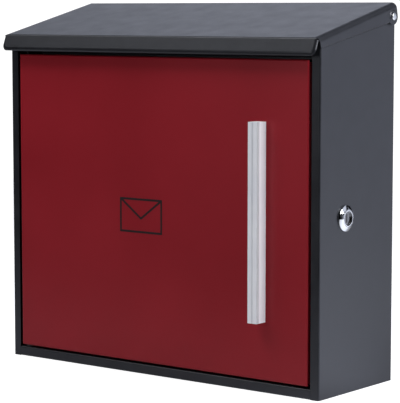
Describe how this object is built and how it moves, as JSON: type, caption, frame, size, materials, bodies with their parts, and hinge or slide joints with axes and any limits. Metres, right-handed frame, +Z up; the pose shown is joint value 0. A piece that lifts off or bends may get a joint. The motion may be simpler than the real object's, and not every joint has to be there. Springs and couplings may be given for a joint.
{
  "type": "wall mounted post box",
  "caption": "Folded steel letter box for wall mounting, with a sloping hinged lid over the mail slot and a lockable front door with a bar handle.",
  "frame": {"origin": "centre of the four wall screw holes, on the face that touches the wall", "axes": "+X to the box's right as seen from the front, +Y into the wall, +Z up"},
  "size_m": [0.37, 0.1387, 0.3423],
  "materials": {
    "anthracite_paint": "fine textured powder coat, semi matt",
    "red_paint": "smooth powder coat, semi gloss",
    "anodised_aluminium": "satin anodised, drawn along its length",
    "chrome_plate": "polished plate",
    "zinc_plate": "bright zinc",
    "nylon": "matt"
  },
  "bodies": {
    "casing": {"casing_shell": "anthracite_paint", "bottom_pan": "anthracite_paint", "top_rail": "anthracite_paint", "lid_pivot_left": "chrome_plate", "lid_pivot_right": "chrome_plate", "lid_pivot_washer_left": "nylon", "lid_pivot_washer_right": "nylon", "door_pin_upper": "zinc_plate", "door_pin_lower": "zinc_plate", "door_washer": "nylon", "lock_housing": "chrome_plate", "lock_nut": "zinc_plate"},
    "lid": {"lid_shell": "anthracite_paint"},
    "door": {"door_panel": "red_paint", "handle_bar": "anodised_aluminium", "handle_screws": "zinc_plate", "lock_keeper": "zinc_plate"},
    "lock": {"lock_plug": "chrome_plate", "lock_cam": "zinc_plate", "cam_washer": "zinc_plate", "cam_screw": "zinc_plate"}
  },
  "joints": [
    {"name": "lid_hinge", "type": "hinge", "parent": "casing", "child": "lid", "pos_m": [0, -0.0145, 0.1698], "axis": [-1, 0, 0], "range_deg": [0, 95]},
    {"name": "door_hinge", "type": "hinge", "parent": "casing", "child": "door", "pos_m": [-0.1628, -0.1187, -0.01], "axis": [0, 0, -1], "range_deg": [0, 100]},
    {"name": "lock_turn", "type": "hinge", "parent": "casing", "child": "lock", "pos_m": [0.18, -0.0851, -0.0047], "axis": [1, 0, 0], "range_deg": [0, 90]}
  ]
}
